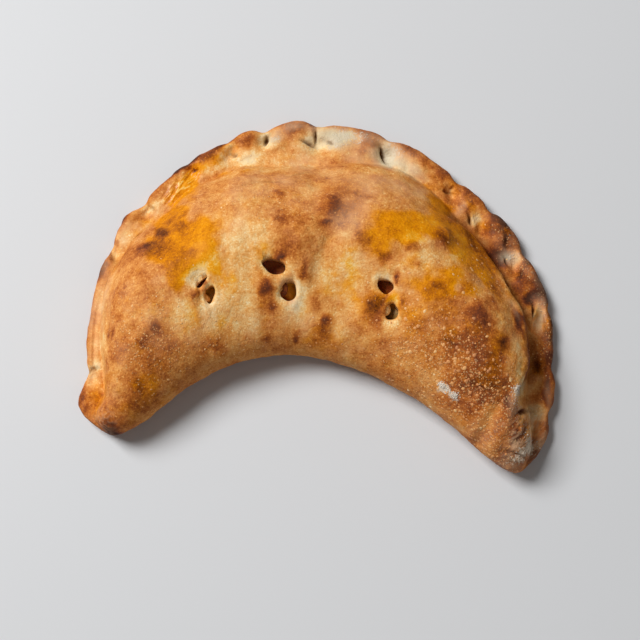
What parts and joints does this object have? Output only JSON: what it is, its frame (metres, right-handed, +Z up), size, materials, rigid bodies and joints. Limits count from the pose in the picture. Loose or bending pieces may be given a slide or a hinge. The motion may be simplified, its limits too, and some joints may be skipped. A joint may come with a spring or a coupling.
{
  "type": "stromboli",
  "caption": "Crescent-shaped folded pizza, baked golden brown, with a fingertip-pinched edge and small steam vents that show its filling.",
  "frame": {"origin": "centre of the footprint's bounding box, on the flat underside", "axes": "+X from the blunt left horn to the pointed right horn, +Y towards the pinched edge at the back, +Z up"},
  "size_m": [0.241, 0.1838, 0.042],
  "materials": {
    "crust": "baked dough, matt with oily patches",
    "filling": "melted cheese and oil"
  },
  "bodies": {
    "root": {"crust": "crust", "filling": "filling"}
  },
  "joints": []
}
